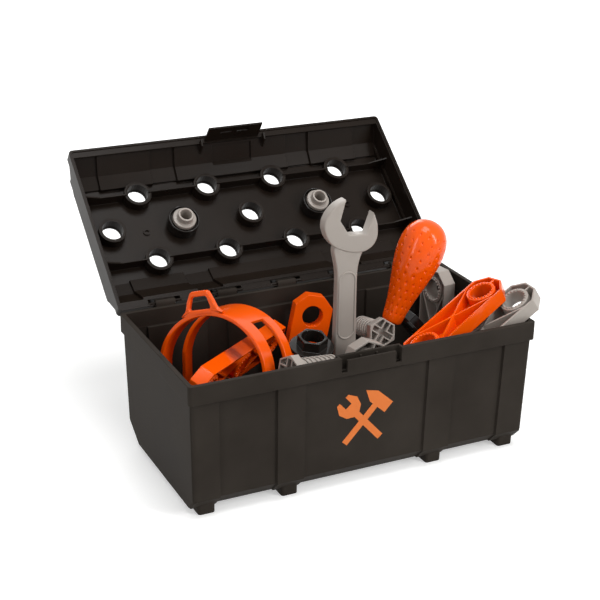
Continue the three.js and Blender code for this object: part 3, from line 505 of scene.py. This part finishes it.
def bolt(node):
    """The head is cut from the CAD node; the thread is a profile spun upwards."""
    bm = bmesh.new()
    bm.from_mesh(nodes[node].data)
    bmesh.ops.remove_doubles(bm, verts=bm.verts, dist=WELD)
    under_head = seat(node) @ Vector((0, 0, -HEAD_HEIGHT))
    down = (seat(node).to_3x3() @ Vector((0, 0, -1))).normalized()
    bmesh.ops.bisect_plane(bm, geom=bm.verts[:] + bm.edges[:] + bm.faces[:], plane_co=under_head, plane_no=down,
                           clear_outer=True)
    bmesh.ops.holes_fill(bm, edges=[e for e in bm.edges if e.is_boundary])
    piece(bm, "head_of_" + node, node, edge=0.35, stands_for=True)
    bm = bmesh.new()
    spun(bm, CORE, 48, closed=False)
    verts = [bm.verts.new((r, 0, z)) for r, z in THREAD]
    edges = [bm.edges.new(pair) for pair in zip(verts, verts[1:] + verts[:1])]
    bmesh.ops.spin(bm, geom=verts + edges, cent=(0, 0, 0), axis=(0, 0, 1), angle=THREAD_TURNS * math.tau,
                   steps=THREAD_TURNS * THREAD_STEPS, dvec=(0, 0, THREAD_PITCH / THREAD_STEPS))
    bmesh.ops.holes_fill(bm, edges=[e for e in bm.edges if e.is_boundary])
    piece(placed(bm, node), "thread_of_" + node, node)


bolt("bolt_centre")
bolt("bolt_front")


# A plain orange picture of a crossed hammer and wrench, printed on the front.
DRAWN_WRENCH = [(-2.6, -22), (2.6, -22), (2.6, 8), (7.5, 12), (9.5, 19), (6, 26), (3, 26), (3, 18.5),
                (-3, 18.5), (-3, 26), (-6, 26), (-9.5, 19), (-7.5, 12), (-2.6, 8)]
DRAWN_HAMMER = [(-2.6, -22), (2.6, -22), (2.6, 14), (11, 14), (11, 24), (-6, 24), (-15, 19), (-6, 14),
                (-2.6, 14)]
INK = 0.1  # a printed layer's thickness
PICTURE_SCALE = 1.25
PICTURE_PLACE = (-12.13, -158.37, 64)
DRAFT = 1.2  # degrees; the front leans by it


def printed_picture():
    """The two outlines as thin layers of ink, one slightly over the other."""
    bm = bmesh.new()
    for outline, tilt, height in ((DRAWN_WRENCH, 42, 0.0), (DRAWN_HAMMER, -42, 0.06)):
        part = bmesh.new()
        plate(part, outline, height, height + INK, 0.01)
        bmesh.ops.scale(part, verts=part.verts, vec=(PICTURE_SCALE, PICTURE_SCALE, 1))
        turned = Matrix.Rotation(math.radians(tilt), 3, "Z")
        bmesh.ops.rotate(part, verts=part.verts, cent=(0, 0, 0), matrix=turned)
        mesh = bpy.data.meshes.new("print")
        part.to_mesh(mesh)
        part.free()
        bm.from_mesh(mesh)
        bpy.data.meshes.remove(mesh)
    upright = Matrix.Rotation(math.radians(90 + DRAFT), 3, "X")
    bmesh.ops.rotate(bm, verts=bm.verts, cent=(0, 0, 0), matrix=upright)
    bmesh.ops.translate(bm, vec=PICTURE_PLACE, verts=bm.verts)
    bmesh.ops.recalc_face_normals(bm, faces=bm.faces)
    bmesh.ops.transform(bm, matrix=Matrix.Scale(MM, 4), verts=bm.verts)
    picture = piece(bm, "printed_picture", "box_body")
    picture.data.materials[0] = orange_print


printed_picture()


# Camera.
IMAGE = 600  # the photograph's side in pixels
FOCAL = 1401.13  # the focal length in its pixels
SENSOR = 36.0
RIM_CORNER = Vector((-183.131, -164.349, 0.0))  # the rim's front left corner, on the ground
EYE = Vector((-380.60, -990.51, 647.19))  # the camera, from that corner
RIGHT = Vector((0.901048, -0.433520, 0.013165))
UP = Vector((0.153419, 0.346971, 0.925242))
AHEAD = Vector((0.405679, 0.831668, -0.379148))

lens = bpy.data.cameras.new("camera")
lens.sensor_width = SENSOR
lens.lens = FOCAL * SENSOR / IMAGE
camera = bpy.data.objects.new("camera", lens)
bpy.context.scene.collection.objects.link(camera)
aim = Matrix((RIGHT, UP, -AHEAD)).transposed().to_4x4()
camera.matrix_world = Matrix.Translation((RIM_CORNER + EYE) * MM) @ aim
bpy.context.scene.camera = camera


# Floor and light, in metres and watts.
FLOOR_SIDE = 12
FLOOR_DROP = 0.2 * MM  # so that the feet don't flicker with it
FAR_FLOOR = (("From Min", 0.5), ("From Max", 2.2), ("To Min", 0.42), ("To Max", 1.0))
AROUND = 0.42  # the strength of the light from all sides


def looked_at(tree):
    """1 for a ray of the camera, of a reflection or through glass, and 0 for a ray that only brings light."""
    rays = add(tree, "ShaderNodeLightPath").outputs
    seen = add(tree, "ShaderNodeMath", {0: rays["Is Camera Ray"], 1: rays["Is Glossy Ray"]}, operation="MAXIMUM")
    through = {0: seen.outputs[0], 1: rays["Is Transmission Ray"]}
    return add(tree, "ShaderNodeMath", through, operation="MAXIMUM").outputs[0]


def plain_floor():
    """White paper that keeps the object's shadow near it and goes to white further out."""
    bpy.ops.mesh.primitive_plane_add(size=FLOOR_SIDE)
    floor = bpy.context.object
    floor.name = "floor"
    floor.location.z = -FLOOR_DROP
    paint = bpy.data.materials.new("white_paper")
    paint.use_nodes = True
    tree = paint.node_tree
    tree.nodes.clear()
    place = add(tree, "ShaderNodeTexCoord").outputs["Object"]
    away = add(tree, "ShaderNodeVectorMath", {0: place}, operation="LENGTH").outputs["Value"]
    whiter = add(tree, "ShaderNodeMapRange", {"Value": away})
    for end, value in FAR_FLOOR:
        whiter.inputs[end].default_value = value
    lift = add(tree, "ShaderNodeMath", {0: looked_at(tree), 1: whiter.outputs["Result"]}, operation="MULTIPLY")
    glow = add(tree, "ShaderNodeEmission", {"Strength": lift.outputs[0]}, Color=linear("#ffffff"))
    matt = add(tree, "ShaderNodeBsdfDiffuse", Color=linear("#e6e6e5"))
    both = add(tree, "ShaderNodeAddShader", {0: matt.outputs[0], 1: glow.outputs[0]})
    add(tree, "ShaderNodeOutputMaterial", {"Surface": both.outputs[0]})
    floor.data.materials.append(paint)


def soft_lamp(name, at, towards, size, power):
    """A rectangular softbox of that width and height."""
    light = bpy.data.lights.new(name, "AREA")
    light.shape = "RECTANGLE"
    light.size, light.size_y = size
    light.energy = power
    lamp = bpy.data.objects.new(name, light)
    lamp.location = at
    lamp.rotation_euler = (Vector(towards) - Vector(at)).to_track_quat("-Z", "Y").to_euler()
    bpy.context.scene.collection.objects.link(lamp)


plain_floor()
soft_lamp("panel_above", (0.1, -0.3, 2.2), (0, 0, 0.1), (1.0, 1.0), 25)
soft_lamp("softbox_left", (-1.65, -0.8, 1.0), (0, 0, 0.2), (0.24, 1.3), 7)
soft_lamp("softbox_right", (1.0, -1.5, 1.1), (0, 0, 0.2), (0.3, 1.3), 20)
soft_lamp("fill_behind", (0.4, 1.9, 1.1), (0, 0, 0.1), (1.2, 1.0), 12)

world = bpy.data.worlds.new("studio")
bpy.context.scene.world = world
world.use_nodes = True
sky = world.node_tree
sky.nodes.clear()
strength = add(sky, "ShaderNodeMapRange", {"Value": looked_at(sky)})
strength.inputs["To Min"].default_value = AROUND
strength.inputs["To Max"].default_value = 1.0
glow = add(sky, "ShaderNodeBackground", {"Strength": strength.outputs[0]}, Color=linear("#ffffff"))
add(sky, "ShaderNodeOutputWorld", {"Surface": glow.outputs[0]})

bpy.context.scene.view_settings.view_transform = "Standard"
